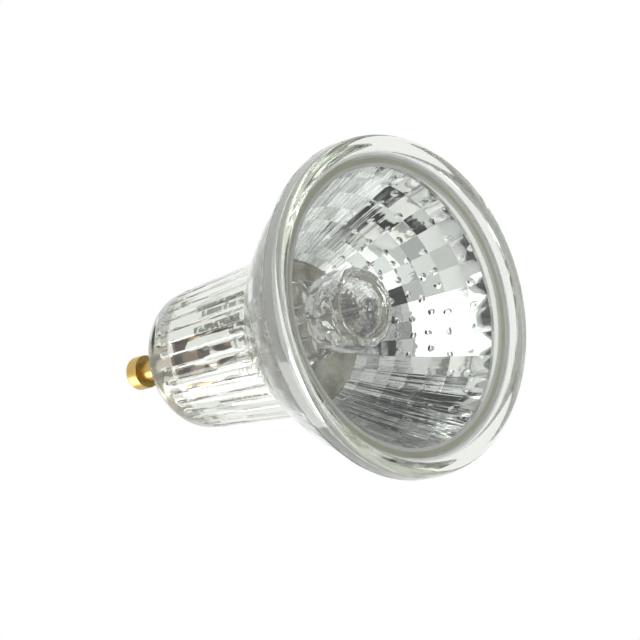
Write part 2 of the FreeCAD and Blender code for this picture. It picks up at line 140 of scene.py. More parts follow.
# %% Camera
VIEW_AZIMUTH = radians(85.5)
VIEW_BELOW = 0.78558
VIEW_ROLL = -1.835592
VIEW_DISTANCE = 671.45 * MM
VIEW_SHIFT = (-2.7172 * MM, -1.8413 * MM)
AIM = Vector((0, 0, 22 * MM))
FOCAL_PIXELS, PICTURE_PIXELS, SENSOR_MM = 4594.56, 640, 36

away = Vector((sin(VIEW_AZIMUTH) * sin(VIEW_BELOW), -cos(VIEW_AZIMUTH) * sin(VIEW_BELOW),
               -cos(VIEW_BELOW)))
forward = -away
plain_up = (Vector((0, 0, 1)) - forward * forward.z).normalized()
plain_right = forward.cross(plain_up)
right = plain_right * cos(VIEW_ROLL) + plain_up * sin(VIEW_ROLL)
up = plain_up * cos(VIEW_ROLL) - plain_right * sin(VIEW_ROLL)
camera = bpy.data.objects.new("camera", bpy.data.cameras.new("camera"))
camera.data.lens = FOCAL_PIXELS / PICTURE_PIXELS * SENSOR_MM
camera.data.clip_start = 50 * MM
spot = AIM + away * VIEW_DISTANCE - right * VIEW_SHIFT[0] - up * VIEW_SHIFT[1]
camera.matrix_world = Matrix.Translation(spot) @ Matrix((right, up, away)).transposed().to_4x4()
bpy.context.collection.objects.link(camera)
bpy.context.scene.camera = camera
print("lens", round(camera.data.lens, 1), "mm, camera at", [round(v, 3) for v in spot])

# %% [markdown]
# ## The studio
# Clear glass and a mirror show what stands around them, so the studio is most of the
# look. A white surround makes the glass glow. It could light everything evenly, but matt
# pieces would then wash out, so it is a little weaker for them. The floor is seen from
# above only, so that a view from below looks through it at the white.

# %% World and floor
WORLD_ON_MATT, WORLD_SEEN = 0.8, 1.0
FLOOR_SIZE = (3, 3)


def studio_world():
    world = bpy.data.worlds.new("studio")
    world.use_nodes = True
    tree = world.node_tree
    tree.nodes.clear()
    path = add_node(tree, "ShaderNodeLightPath").outputs
    known = {}
    add_steps(tree, known, "ShaderNodeMath", [
        ("seen", "MAXIMUM", path["Is Camera Ray"], path["Is Glossy Ray"]),
        ("seen_through", "MAXIMUM", "seen", path["Is Transmission Ray"])])
    strength = add_node(tree, "ShaderNodeMapRange", {
        "Value": known["seen_through"], "To Min": WORLD_ON_MATT, "To Max": WORLD_SEEN})
    light = add_node(tree, "ShaderNodeBackground", {"Color": srgb("#ffffff"), "Strength": strength})
    add_node(tree, "ShaderNodeOutputWorld", {"Surface": light})
    bpy.context.scene.world = world


def flat_panel(name, centre, size, facing):
    """A flat rectangle that faces a point."""
    mesh = bpy.data.meshes.new(name)
    half_x, half_y = size[0] / 2, size[1] / 2
    corners = [(-half_x, -half_y, 0), (half_x, -half_y, 0), (half_x, half_y, 0), (-half_x, half_y, 0)]
    turn = (Vector(facing) - Vector(centre)).to_track_quat("Z", "Y")
    mesh.from_pydata([turn @ Vector(c) + Vector(centre) for c in corners], [], [(0, 1, 2, 3)])
    panel = bpy.data.objects.new(name, mesh)
    bpy.context.collection.objects.link(panel)
    return panel


def one_sided(tree, main, out):
    """The floor's underside lets the view through."""
    side = add_node(tree, "ShaderNodeNewGeometry")
    mix = add_node(tree, "ShaderNodeMixShader", {
        0: side.outputs["Backfacing"], 1: main, 2: add_node(tree, "ShaderNodeBsdfTransparent")})
    tree.links.new(mix.outputs[0], out.inputs["Surface"])


studio_world()
floor = flat_panel("floor", (0, 0, 0), FLOOR_SIZE, (0, 0, 1))
floor.data.materials.append(material("pale_floor_paper", {
    "Base Color": srgb("#f4f4f2"), "Roughness": 0.9}, one_sided))
for ray in ("diffuse", "glossy", "transmission", "volume_scatter", "shadow"):
    setattr(floor, "visible_" + ray, False)
print("floor:", FLOOR_SIZE, "m")

# %% [markdown]
# ## Cards for the mirror
# A photographer shapes a mirror's look with cards, as in a real studio: each facet shows
# the card that lies its way. Painted shade adds to it: the mirror's material tints
# alternate facets a little greyer. A grey wall, flags and softboxes stand in front of the
# bulb, where the bowl looks. They are part of the stage, and the camera doesn't see them.

# %% Cards and lamp
# azimuth from the camera's and elevation, width and height, all in degrees; distance in
# metres; tone; strength
CARDS = {
    "grey_wall_front": (0, -90, 112, 112, 1.7, "#cacaca", 1.0),
    "grey_flag_right": (74, -26, 38, 20, 1.4, "#d6d6d6", 1.0),
    "black_flag_front": (25, -57, 46, 24, 1.2, "#202022", 1.0),
    "black_flag_corner": (76, -55, 22, 18, 1.3, "#707072", 1.0),
    "softbox_left": (-57, -46, 52, 24, 1.25, "#ffffff", 1.3),
    "softbox_near": (24, -25, 42, 25, 1.1, "#ffffff", 2.4),
}
KEY_POWER, KEY_SIZE, KEY_PLACE = 6, 0.6, (0.5, -0.5, 0.6)


def card(name, azimuth, elevation, width, height, distance, tone, strength):
    """A glowing flat card that faces the bulb and fills an angle of its view."""
    turn, lift = VIEW_AZIMUTH + radians(azimuth), radians(elevation)
    direction = Vector((sin(turn) * cos(lift), -cos(turn) * cos(lift), sin(lift)))
    size = [2 * distance * tan(radians(angle) / 2) for angle in (width, height)]
    made = flat_panel(name, AIM + direction * distance, size, AIM)
    made.data.materials.append(material(name + "_glow", {
        "Base Color": srgb("#000000"), "Specular IOR Level": 0.0,
        "Emission Color": srgb(tone), "Emission Strength": strength}))
    made.visible_camera = False
    made.visible_diffuse = False
    made.visible_shadow = False


for name, values in CARDS.items():
    card(name, *values)

key = bpy.data.objects.new("key_softbox", bpy.data.lights.new("key_softbox", "AREA"))
key.data.energy = KEY_POWER
key.data.size = KEY_SIZE
key.location = KEY_PLACE
key.rotation_euler = (AIM - key.location).to_track_quat("-Z", "Y").to_euler()
bpy.context.collection.objects.link(key)
print("stage:", len(CARDS), "cards")

# %% [markdown]
# ## Pressed glass
# The body is borosilicate glass, pressed hot into a mould. It is clear, but its skin has
# a soft unevenness from the mould, the rim and neck are a little hazy, and a long way
# through the glass looks grey-green. A plain tint of the surface would darken thin and
# thick glass alike, so the tint is an absorption in the volume. Heat has left a few
# sooty streaks inside the reeds.

# %% Pressed glass
FINISH = {}
RIM_HAZE, NECK_HAZE = 0.06, 0.05
RIM_FADE, NECK_FADE = (3, 9), (19, 24)
SEAT_RADIUS, SEAT_REACH = 21.8, 4.9
SOOT_STREAKS = ((17, 3.2), (35, 2.2), (-41, 1.0))
SOOT_MIDDLE, SOOT_REACH = 27.5, 5.5


def ripple(scale_mm, strength, distance_mm):
    """Gentle unevenness of a surface, from a noise of a real size."""
    def wire(tree, main, out):
        coord = add_node(tree, "ShaderNodeTexCoord").outputs["Object"]
        waves = add_node(tree, "ShaderNodeTexNoise", {
            "Vector": coord, "Scale": 1 / (scale_mm * MM), "Detail": 2.0})
        bump = add_node(tree, "ShaderNodeBump", {
            "Height": waves, "Strength": strength, "Distance": distance_mm * MM})
        tree.links.new(bump.outputs[0], main.inputs["Normal"])
    return wire


def pressed_skin(tree, main, out):
    """Haze on rim and neck, a ground seat under the cover, soot streaks and the volume's tint."""
    ripple(3.0, 0.2, 0.05)(tree, main, out)
    known = lamp_place(tree)
    known["rim"] = add_node(tree, "ShaderNodeMapRange", {
        "Value": known["z"], "From Min": RIM_FADE[0] * MM, "From Max": RIM_FADE[1] * MM,
        "To Min": RIM_HAZE, "To Max": 0.0})
    known["neck"] = add_node(tree, "ShaderNodeMapRange", {
        "Value": known["z"], "From Min": NECK_FADE[0] * MM, "From Max": NECK_FADE[1] * MM,
        "To Max": NECK_HAZE})
    add_steps(tree, known, "ShaderNodeMath", [
        ("haze", "ADD", "rim", "neck"),
        ("within", "LESS_THAN", "radius", SEAT_RADIUS * MM),
        ("low", "LESS_THAN", "z", SEAT_REACH * MM),
        ("seat", "MULTIPLY", "within", "low"),
        ("rough", "MAXIMUM", "seat", "haze")])
    tree.links.new(known["rough"].outputs[0], main.inputs["Roughness"])
    grain = add_node(tree, "ShaderNodeTexNoise", {
        "Vector": known["place"], "Scale": 1 / (0.7 * MM), "Detail": 4.0})
    known["spots"] = add_node(tree, "ShaderNodeMapRange", {
        "Value": grain, "From Min": 0.34, "From Max": 0.48})
    known["film"] = 0.0
    for middle, half in SOOT_STREAKS:
        add_steps(tree, known, "ShaderNodeMath", [
            ("off", "SUBTRACT", "turn", radians(middle)),
            ("far", "ABSOLUTE", "off"),
            ("streak", "LESS_THAN", "far", radians(half)),
            ("film", "MAXIMUM", "film", "streak")])
    add_steps(tree, known, "ShaderNodeMath", [
        ("along", "COMPARE", "z", SOOT_MIDDLE * MM, SOOT_REACH * MM),
        ("placed", "MULTIPLY", "film", "along"),
        ("soot", "MULTIPLY", "placed", "spots")])
    tone = add_node(tree, "ShaderNodeMix", {
        0: known["soot"], 6: srgb("#f3f5f1"), 7: srgb("#4a4d3f")}, data_type="RGBA")
    tree.links.new(tone.outputs[2], main.inputs["Base Color"])
    tint = add_node(tree, "ShaderNodeVolumeAbsorption", {"Color": srgb("#c8d0bc"), "Density": 13.0})
    tree.links.new(tint.outputs[0], out.inputs["Volume"])


FINISH["pressed_glass"] = material("pressed_borosilicate_glass", {
    "Base Color": srgb("#f3f5f1"), "Roughness": 0.02, "IOR": 1.474, "Transmission Weight": 1.0},
    pressed_skin)
print("pressed glass:", len(SOOT_STREAKS), "soot streaks")

# %% [markdown]
# ## The mirror's coat
# The inside of the bowl is coated with a bright film in a vacuum. No facet of pressed
# glass is set quite true, the mould leaves a small pit in many of them, and on one side
# it has drawn long streaks towards the throat. All of this could be modelled, but it is
# thinner than a hair, so it tilts the shading instead. A column of facets shares most of
# its tilt. Alternate facets are tinted a little greyer, as painted shade, and the painted
# shade also changes a little at random.

# %% Mirror coat
FACET_COLUMNS = 36
# the last value is the random part of the painted shade that tints alternate facets greyer
FACET_TILT, COLUMN_SHARE, FACET_SHADE_CHANCE = 0.15, 0.6, 0.3
PIT_SCATTER, PIT_WAVER, PIT_MOVE = 0.45, 0.22, (0.35, 0.1, 0)
PIT_INNER, PIT_OUTER = 0.02, 0.2
DRAWN_SIDE = radians(-12)
DRAWN_START, DRAWN_FULL = -13 * MM, -7 * MM
STREAK_STRETCH = (3.4, 0.08, 1)
PIT_SHARES, STREAK_SHARES, UNEVEN_SHARE = (1.0, 0.2), (0.1, 1.7), 0.1


def facet_marks_and_shade(tree, main, out):
    """Tilted facets with painted shade on alternate ones, pits on one side of the bowl and streaks on
    the other.
    """
    known = lamp_place(tree)
    known["row"] = add_node(tree, "ShaderNodeAttribute", attribute_name="row").outputs["Fac"]
    add_steps(tree, known, "ShaderNodeMath", [
        ("column", "MULTIPLY_ADD", "turn", FACET_COLUMNS / (2 * pi), FACET_COLUMNS + 0.5)])
    known["cell"] = add_node(tree, "ShaderNodeCombineXYZ", {0: known["column"], 1: known["row"]})
    known["waver"] = add_node(tree, "ShaderNodeTexNoise", {
        "Vector": known["cell"], "Scale": 2.3, "Detail": 1.0}).outputs["Color"]
    add_steps(tree, known, "ShaderNodeVectorMath", [
        ("bent", "MULTIPLY_ADD", "waver", (PIT_WAVER, PIT_WAVER, 0), "cell"),
        ("moved", "ADD", "bent", PIT_MOVE),
        ("stretched", "MULTIPLY", "cell", STREAK_STRETCH),
        ("own", "FLOOR", "cell"),
        ("column_only", "MULTIPLY", "own", (1, 0, 0)),
        ("sideways", "DOT_PRODUCT", "place", (cos(DRAWN_SIDE), sin(DRAWN_SIDE), 0)),
        ("halves", "DOT_PRODUCT", "own", (0.5, 0.5, 0))])
    sideways = known["sideways"].outputs["Value"]
    known["halves"] = known["halves"].outputs["Value"]

    pit = add_node(tree, "ShaderNodeTexVoronoi", {
        "Vector": known["moved"], "Scale": 1.0, "Randomness": PIT_SCATTER}, voronoi_dimensions="2D")
    known["pit"] = add_node(tree, "ShaderNodeMapRange", {
        "Value": pit, "From Min": PIT_INNER, "From Max": PIT_OUTER}, interpolation_type="SMOOTHSTEP")
    known["uneven"] = add_node(tree, "ShaderNodeTexNoise", {
        "Vector": known["place"], "Scale": 1 / (1.6 * MM), "Detail": 1.0})
    known["streaks"] = add_node(tree, "ShaderNodeTexNoise", {
        "Vector": known["stretched"], "Scale": 1.0, "Detail": 2.0})
    for name, (before, after) in (("pit_share", PIT_SHARES), ("streak_share", STREAK_SHARES)):
        known[name] = add_node(tree, "ShaderNodeMapRange", {
            "Value": sideways, "From Min": DRAWN_START, "From Max": DRAWN_FULL,
            "To Min": before, "To Max": after})
    add_steps(tree, known, "ShaderNodeMath", [
        ("pits", "MULTIPLY", "pit", "pit_share"),
        ("rough", "MULTIPLY_ADD", "uneven", UNEVEN_SHARE, "pits"),
        ("height", "MULTIPLY_ADD", "streaks", "streak_share", "rough"),
        ("odd", "FRACT", "halves")])
    bump = add_node(tree, "ShaderNodeBump", {
        "Height": known["height"], "Strength": 0.8, "Distance": 0.1 * MM})

    chance = add_node(tree, "ShaderNodeTexWhiteNoise", {"Vector": known["own"]}, noise_dimensions="2D")
    strip = add_node(tree, "ShaderNodeTexWhiteNoise", {"Vector": known["column_only"]},
                     noise_dimensions="2D")
    known["drawn_lots"] = add_node(tree, "ShaderNodeMix", {
        0: COLUMN_SHARE, 6: chance.outputs["Color"], 7: strip.outputs["Color"]},
        data_type="RGBA").outputs[2]
    known["smooth"] = bump
    add_steps(tree, known, "ShaderNodeVectorMath", [
        ("centred", "SUBTRACT", "drawn_lots", (0.5, 0.5, 0.5)),
        ("tilted", "MULTIPLY_ADD", "centred", (FACET_TILT,) * 3, "smooth"),
        ("normal", "NORMALIZE", "tilted")])
    tree.links.new(known["normal"].outputs[0], main.inputs["Normal"])
    known["chance"] = chance
    # painted shade: alternate facets, and a random share, get the greyer of the two mirror tones
    add_steps(tree, known, "ShaderNodeMath", [("painted_facet_shade", "MULTIPLY_ADD", "chance", FACET_SHADE_CHANCE, "odd")])
    tone = add_node(tree, "ShaderNodeMix", {
        0: known["painted_facet_shade"], 6: srgb("#fbfbfc"), 7: srgb("#c6c9c8")}, data_type="RGBA")
    tree.links.new(tone.outputs[2], main.inputs["Base Color"])


FINISH["mirror_coat"] = material("vacuum_mirror_coat", {"Metallic": 1.0, "Roughness": 0.02}, facet_marks_and_shade)
print("mirror coat:", FACET_COLUMNS, "columns of facets")

# %% [markdown]
# ## Cover glass and sealant
# The front disc is polished sheet glass, quite clear. Light could be traced bent through
# it to what lies behind, which takes very many samples, so lamps shine straight through
# it. The sealant is clear silicone that has gone milky: thick and olive in the middle of
# the bead, thin and pale at both edges.

# %% Cover glass and sealant
BEAD_RADIUS, BEAD_HALF = 21.35, 0.35


def lets_light_in(tree, main, out):
    """Lamps shine straight through a clear sheet on what lies behind it."""
    path = add_node(tree, "ShaderNodeLightPath")
    mix = add_node(tree, "ShaderNodeMixShader", {
        0: path.outputs["Is Shadow Ray"], 1: main, 2: add_node(tree, "ShaderNodeBsdfTransparent")})
    tree.links.new(mix.outputs[0], out.inputs["Surface"])


def squeezed(tree, main, out):
    """The bead is olive where it is thick and pale where it is thin."""
    known = lamp_place(tree)
    add_steps(tree, known, "ShaderNodeMath", [
        ("thick", "COMPARE", "radius", BEAD_RADIUS * MM, BEAD_HALF * MM)])
    tone = add_node(tree, "ShaderNodeMix", {
        0: known["thick"], 6: srgb("#ffffff"), 7: srgb("#dfe2ca")}, data_type="RGBA")
    tree.links.new(tone.outputs[2], main.inputs["Base Color"])


FINISH["cover_glass"] = material("polished_cover_glass", {
    "Base Color": srgb("#fafcf9"), "Roughness": 0.0, "IOR": 1.5, "Transmission Weight": 1.0},
    lets_light_in)
FINISH["clear_sealant"] = material("milky_sealant", {
    "Roughness": 0.5, "IOR": 1.41, "Transmission Weight": 0.35}, squeezed)
print("cover glass and sealant ready")

# %% [markdown]
# ## Brass, sheet, quartz and wire
# The pins are brass, turned on a lathe and left bare: gold outside, paler where the base
# wall covers them, browned by heat inside the neck. The shield is aluminised sheet, bent
# by hand and dulled by heat. A crease could be cut into its solid, but it is a slight
# fold, so it raises the shading along two lines. Fused quartz is the clearest glass of
# all, and a flame has left it wavy.

# %% Metals and quartz
WALL_TOP, BROWN_START, BROWN_END = 46.0, 39.5, 41.0
CREASES = (((-0.9, 6.8), (1.4, 8.5)), ((-1.0, -5.2), (1.9, -7.8)))
CREASE_HALF, CREASE_HEIGHT = 0.5, 1.6


def hot_end(tree, main, out):
    """The pin's hidden end, below the base wall, is browned by heat."""
    ripple(0.5, 0.3, 0.02)(tree, main, out)
    known = lamp_place(tree)
    outside = add_node(tree, "ShaderNodeMapRange", {
        "Value": known["z"], "From Min": (WALL_TOP - 0.1) * MM, "From Max": WALL_TOP * MM})
    browned = add_node(tree, "ShaderNodeMapRange", {
        "Value": known["z"], "From Min": BROWN_START * MM, "From Max": BROWN_END * MM})
    stem = add_node(tree, "ShaderNodeMix", {
        0: browned, 6: srgb("#93806f"), 7: srgb("#cfc8bb")}, data_type="RGBA")
    tone = add_node(tree, "ShaderNodeMix", {
        0: outside, 6: stem.outputs[2], 7: srgb("#c3a460")}, data_type="RGBA")
    tree.links.new(tone.outputs[2], main.inputs["Base Color"])


def creased(tree, main, out):
    """Two creases, each along a line across the sheet, over a rolled grain, and stains."""
    known = lamp_place(tree)
    known["height"] = add_node(tree, "ShaderNodeTexNoise", {
        "Vector": known["place"], "Scale": 1 / (1.1 * MM), "Detail": 4.0})
    for start, end in CREASES:
        along = (Vector(end) - Vector(start)).normalized()
        add_steps(tree, known, "ShaderNodeVectorMath", [
            ("across", "DOT_PRODUCT", "place", (-along.y / MM, along.x / MM, 0))])
        known["across"] = known["across"].outputs["Value"]
        add_steps(tree, known, "ShaderNodeMath", [
            ("past", "SUBTRACT", "across", -along.y * start[0] + along.x * start[1])])
        known["fold"] = add_node(tree, "ShaderNodeMapRange", {
            "Value": known["past"], "From Min": -CREASE_HALF, "From Max": CREASE_HALF,
            "To Max": CREASE_HEIGHT}, interpolation_type="SMOOTHSTEP")
        add_steps(tree, known, "ShaderNodeMath", [("height", "ADD", "fold", "height")])
    bump = add_node(tree, "ShaderNodeBump", {
        "Height": known["height"], "Strength": 1.0, "Distance": 0.4 * MM})
    tree.links.new(bump.outputs[0], main.inputs["Normal"])
    stain = add_node(tree, "ShaderNodeTexNoise", {
        "Vector": known["place"], "Scale": 1 / (2.6 * MM), "Detail": 3.0})
    share = add_node(tree, "ShaderNodeMapRange", {"Value": stain, "From Min": 0.35, "From Max": 0.65})
    tone = add_node(tree, "ShaderNodeMix", {
        0: share, 6: srgb("#8a8674"), 7: srgb("#c2c1b4")}, data_type="RGBA")
    tree.links.new(tone.outputs[2], main.inputs["Base Color"])


FINISH["pin_brass"] = material("turned_brass", {"Metallic": 1.0, "Roughness": 0.33}, hot_end)
FINISH["grey_sheet"] = material("dull_aluminised_sheet", {"Metallic": 0.8, "Roughness": 0.34}, creased)
FINISH["quartz"] = material("flame_shaped_quartz", {
    "Base Color": srgb("#ffffff"), "Roughness": 0.0, "IOR": 1.458, "Transmission Weight": 1.0},
    ripple(2.5, 0.5, 0.15))
# slot: material, colour and roughness of the plain metals: rolled molybdenum foil, drawn
# wire, wire that has been white-hot, and stamped brass
PLAIN_METALS = {
    "foil_metal": ("rolled_foil", "#8a898c", 0.4),
    "wire_metal": ("drawn_wire", "#aaa8a2", 0.35),
    "filament_metal": ("recrystallised_wire", "#9c9a96", 0.4),
    "washer_metal": ("dull_stamped_brass", "#7c6552", 0.5),
}
for slot, (name, tone, roughness) in PLAIN_METALS.items():
    FINISH[slot] = material(name, {"Base Color": srgb(tone), "Metallic": 1.0, "Roughness": roughness})
print("finishes:", ", ".join(FINISH))

# %% [markdown]
# ## Turned forms
# Glass pressed in a round mould, a turned pin and a cut disc all come from one outline
# that goes round an axis. An outline is a list of points, radius and height in
# millimetres, and its curves are sampled finely enough to look round in glass. A Screw
# modifier could spin it; rings of points keep the count of columns and the order of the
# points known, which the pattern on the body needs.

# %% Outline helpers
def arc_points(centre, radius, start, end, steps):
    """Points of an arc; angles in degrees from the radius direction."""
    turns = [radians(start + (end - start) * i / steps) for i in range(steps + 1)]
    return [(centre[0] + radius * cos(t), centre[1] + radius * sin(t)) for t in turns]


def bezier_points(poles, steps):
    """Points of a Bezier curve with three or four poles."""
    points = []
    for i in range(steps + 1):
        row = [Vector(p) for p in poles]
        while len(row) > 1:
            row = [a.lerp(b, i / steps) for a, b in zip(row, row[1:])]
        points.append(tuple(row[0]))
    return points


def straight_points(start, end, steps):
    return [tuple(Vector(start).lerp(Vector(end), i / steps)) for i in range(steps + 1)]


def through_three(first, middle, last, steps):
    """Points of the arc through three points."""
    a, b, c = (Vector(p) for p in (first, middle, last))
    ab, ac = b - a, c - a
    turn = 2 * (ab.x * ac.y - ab.y * ac.x)
    centre = a + Vector((ac.y * ab.length_squared - ab.y * ac.length_squared,
                         ab.x * ac.length_squared - ac.x * ab.length_squared)) / turn
    start = Vector((1, 0)).angle_signed(a - centre)
    end = Vector((1, 0)).angle_signed(c - centre)
    return arc_points(centre, (a - centre).length, -start * 180 / pi, -end * 180 / pi, steps)


def joined(*parts):
    """One outline from several, without doubled points."""
    outline = []
    for part in parts:
        for p in part:
            if not outline or (Vector(outline[-1]) - Vector(p)).length > 1e-4:
                outline.append(tuple(p))
    return outline


print("outline helpers ready")

# %% Skin and lathe
def skin(name, rings, closed=False, capped=False, inward=False):
    """Join rings of points, in metres, with faces; a ring of one point is a pole."""
    mesh = bmesh.new()
    made = [[mesh.verts.new(point) for point in ring] for ring in rings]
    columns = max(len(ring) for ring in made)
    made = [ring * columns if len(ring) == 1 else ring for ring in made]
    pairs = list(zip(made, made[1:])) + ([(made[-1], made[0])] if closed else [])
    for lower, upper in pairs:
        for k in range(columns):
            after = (k + 1) % columns
            corners = list(dict.fromkeys([lower[k], lower[after], upper[after], upper[k]]))
            if len(corners) > 2:
                mesh.faces.new(corners)
    ends = [mesh.faces.new(made[0]), mesh.faces.new(made[-1])] if capped else []
    bmesh.ops.recalc_face_normals(mesh, faces=mesh.faces)
    if inward:
        bmesh.ops.reverse_faces(mesh, faces=mesh.faces)
    for face in mesh.faces:
        face.smooth = face not in ends
    data = bpy.data.meshes.new(name)
    mesh.to_mesh(data)
    mesh.free()
    piece = bpy.data.objects.new(name, data)
    bpy.context.collection.objects.link(piece)
    return piece


def lathe(name, outline, columns, start=0.0, centre_x=0.0, closed=False):
    """Spin an outline round an upright axis; points on the axis become closed poles."""
    turns = [start + 2 * pi * k / columns for k in range(columns)]
    rings = [[((centre_x + radius * cos(t)) * MM, radius * sin(t) * MM, height * MM)
              for t in (turns if radius > 1e-6 else turns[:1])] for radius, height in outline]
    return skin(name, rings, closed=closed)


def sharpen(piece, angle=30):
    """Keep smooth shading off real corners."""
    piece.data.set_sharp_from_angle(angle=radians(angle))


def dress(piece, slot, *nodes):
    """Give a piece its finish, let it ride, and let it stand for its CAD nodes."""
    if not piece.data.materials:
        piece.data.materials.append(FINISH[slot])
    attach(piece, "root")
    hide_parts(*nodes)


print("lathe ready")

# %% [markdown]
# ## The reflector body
# One piece of pressed glass: rim, bowl, reeded neck and base wall. Its outline is spun
# first. Two patterns then move the surface: the 36 reeds outside the neck, and the mirror
# inside the bowl, cut into 36 columns and 8 rows of hollow facets. Both follow a rule, so
# Geometry Nodes makes them, from the angle round the axis and from the row.

# %% Sizes of the reflector body
RIM_RADIUS, RIM_WALL_TOP, RIM_ROUND, RIM_CREST = 25.0, 2.9, 0.9, 0.5
RIM_STEP, RIM_STEP_RISE, RIM_LIP = 1.05, 0.6, 1.25
POCKET_RADIUS, POCKET_OPENING, SEAT_HEIGHT = 22.5, 21.5, 2.6
MIRROR_EDGE_RADIUS, MIRROR_EDGE_HEIGHT = 20.9, 4.7
THROAT_RADIUS, THROAT_HEIGHT = 9.75, 19.2
BOWL_MID_WALL, SHOULDER_WALL, SHOULDER_SETBACK, SHOULDER_PULL = 3.2, 3.85, 1.3, 2.4
NECK_WALL, NECK_RISE = 2.5, 2.7
BODY_LENGTH, BASE_INNER, BASE_RADIUS, BASE_CORNER = 46.0, 41.0, 10.4, 3.0
BORE_MOUTH, BORE_END, BORE_CORNER, BASE_RING = 9.0, 8.3, 0.6, 4.0
REED_COUNT, REED_DEPTH, REED_END_RADIUS, REED_END_HEIGHT = 36, 0.25, 10.6, 41.0
REED_RUN_IN, REED_RUN_OUT = 1.5, 1.0
CORNER_BAND, CORNER_DRAFT = 0.6, 0.02
FACET_ROWS, EDGE_ROW_SHARE, FACET_SPLIT = 8, 0.72, 8
COLUMN_SAG, FACET_SAG, ROW_ARCH, SCALLOP_DEPTH = 0.0010, 0.0006, 0.0012, 0.22
REED_FULLNESS, BORDER_REACH, SHARP_CORNER = 0.4, 0.02, radians(25)
MIRROR_DEPTH = THROAT_HEIGHT - MIRROR_EDGE_HEIGHT
MIRROR_SPREAD = (MIRROR_EDGE_RADIUS ** 2 - THROAT_RADIUS ** 2) / MIRROR_DEPTH
print("mirror: a paraboloid with a focal length of", round(MIRROR_SPREAD / 4, 2), "mm")


# %% Outline of the reflector body
def mirror_radius(height):
    return sqrt(THROAT_RADIUS ** 2 + MIRROR_SPREAD * (THROAT_HEIGHT - height))


def mirror_height(radius):
    return THROAT_HEIGHT - (radius ** 2 - THROAT_RADIUS ** 2) / MIRROR_SPREAD


def mirror_outline():
    """Points down the mirror and the row coordinate of each: whole numbers lie on row borders."""
    ratio = (THROAT_RADIUS / MIRROR_EDGE_RADIUS) ** (1 / (FACET_ROWS - 1 + EDGE_ROW_SHARE))
    rows = [1 - EDGE_ROW_SHARE + EDGE_ROW_SHARE * i / FACET_SPLIT for i in range(FACET_SPLIT)]
    rows += [1 + i / FACET_SPLIT for i in range((FACET_ROWS - 1) * FACET_SPLIT + 1)]
    radii = [THROAT_RADIUS / ratio ** (FACET_ROWS - row) for row in rows]
    return [(r, mirror_height(r)) for r in radii], rows


def outside_outline():
    """From the middle of the base, down neck and bowl, and round the rim to the mirror's edge."""
    flat, turn = BASE_RADIUS - BASE_CORNER, BODY_LENGTH - BASE_CORNER
    reed_end = (REED_END_RADIUS, REED_END_HEIGHT)
    shoulder_height = THROAT_HEIGHT - SHOULDER_SETBACK
    shoulder = (mirror_radius(shoulder_height) + SHOULDER_WALL, shoulder_height)
    rim_step = (RIM_RADIUS - RIM_STEP, RIM_WALL_TOP + RIM_STEP_RISE)
    middle = (rim_step[1] + shoulder_height) / 2
    crest_outer = RIM_RADIUS - RIM_ROUND
    crest_inner = crest_outer - RIM_CREST
    return joined(
        [(0, BODY_LENGTH)], straight_points((flat / 2, BODY_LENGTH), (flat, BODY_LENGTH), 2),
        arc_points((flat, turn), BASE_CORNER, 90, 0, 12),
        straight_points((BASE_RADIUS, turn), (reed_end[0], reed_end[1] + CORNER_BAND), 3),
        straight_points(reed_end, NECK_START, 40),
        bezier_points([NECK_START, (NECK_START[0], NECK_START[1] - SHOULDER_PULL),
                       (shoulder[0] - SHOULDER_PULL, shoulder[1] + SHOULDER_PULL), shoulder], 16),
        through_three(shoulder, (mirror_radius(middle) + BOWL_MID_WALL, middle), rim_step, 24),
        bezier_points([rim_step, (RIM_RADIUS, rim_step[1]), (RIM_RADIUS, RIM_WALL_TOP)], 8),
        straight_points((RIM_RADIUS, RIM_WALL_TOP), (RIM_RADIUS, RIM_ROUND), 3),
        arc_points((crest_outer, RIM_ROUND), RIM_ROUND, 0, -90, 10), [(crest_inner, 0)],
        bezier_points([(crest_inner, 0), (POCKET_RADIUS, 0), (POCKET_RADIUS, RIM_LIP)], 8),
        [(POCKET_RADIUS, SEAT_HEIGHT), (POCKET_OPENING, SEAT_HEIGHT),
         (POCKET_OPENING, MIRROR_EDGE_HEIGHT)])


def bore_outline():
    """From the throat ledge up the bore to the middle of the base wall."""
    flat, turn = BORE_END - BORE_CORNER, BASE_INNER - BORE_CORNER
    return joined(
        [(BORE_MOUTH, THROAT_HEIGHT)],
        straight_points((BORE_MOUTH - CORNER_DRAFT, THROAT_HEIGHT + CORNER_BAND), (BORE_END, turn), 10),
        arc_points((flat, turn), BORE_CORNER, 0, 90, 5),
        [(BASE_RING, BASE_INNER), (0, BASE_INNER)])


NECK_START = (THROAT_RADIUS + NECK_WALL, THROAT_HEIGHT + NECK_RISE)
outside_line, bore_line = outside_outline(), bore_outline()
mirror_line, mirror_rows = mirror_outline()
body_line = outside_line + mirror_line + bore_line
print("outline of", len(body_line), "points")

# %% [markdown]
# ## The rule of reeds and facets
# The tree reads two attributes of the spun glass: reed, which is 1 where the reeds are at
# full depth, and row, which counts the facet rows down the mirror. From the turn round the
# axis it works out where in its column a point lies, and moves it. Borders of facets get
# crisp edges. The inputs have names, so the same tree could cut another bowl.

